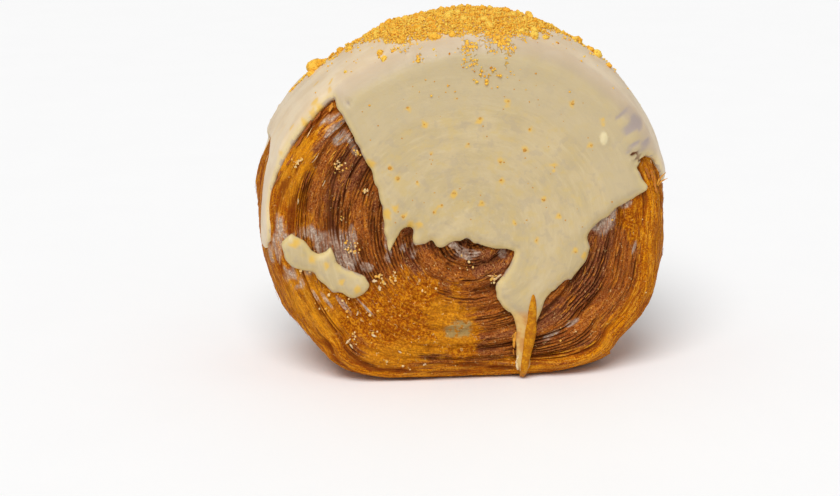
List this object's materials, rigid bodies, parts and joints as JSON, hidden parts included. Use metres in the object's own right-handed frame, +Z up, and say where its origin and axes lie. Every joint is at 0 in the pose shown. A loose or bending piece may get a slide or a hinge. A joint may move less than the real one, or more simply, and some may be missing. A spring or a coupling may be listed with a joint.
{
  "type": "rolled croissant",
  "caption": "Round croissant of laminated dough wound into a flat spiral, standing on its rim, with poured icing and biscuit crumbs over the top.",
  "frame": {"origin": "middle of the flattened foot the roll stands on", "axes": "+Z up, +Y from the iced front spiral face to the back one along the roll's axis, +X to the right seen from the front"},
  "size_m": [0.105, 0.0511, 0.0914],
  "materials": {
    "crust": "baked laminated crust, satin to matt",
    "poured_icing": "set cream icing, satin, with biscuit crumbs",
    "smeared_icing": "set cream icing, satin"
  },
  "bodies": {
    "root": {"pastry": "crust", "icing": "poured_icing", "icing_smear": "smeared_icing"}
  },
  "joints": []
}
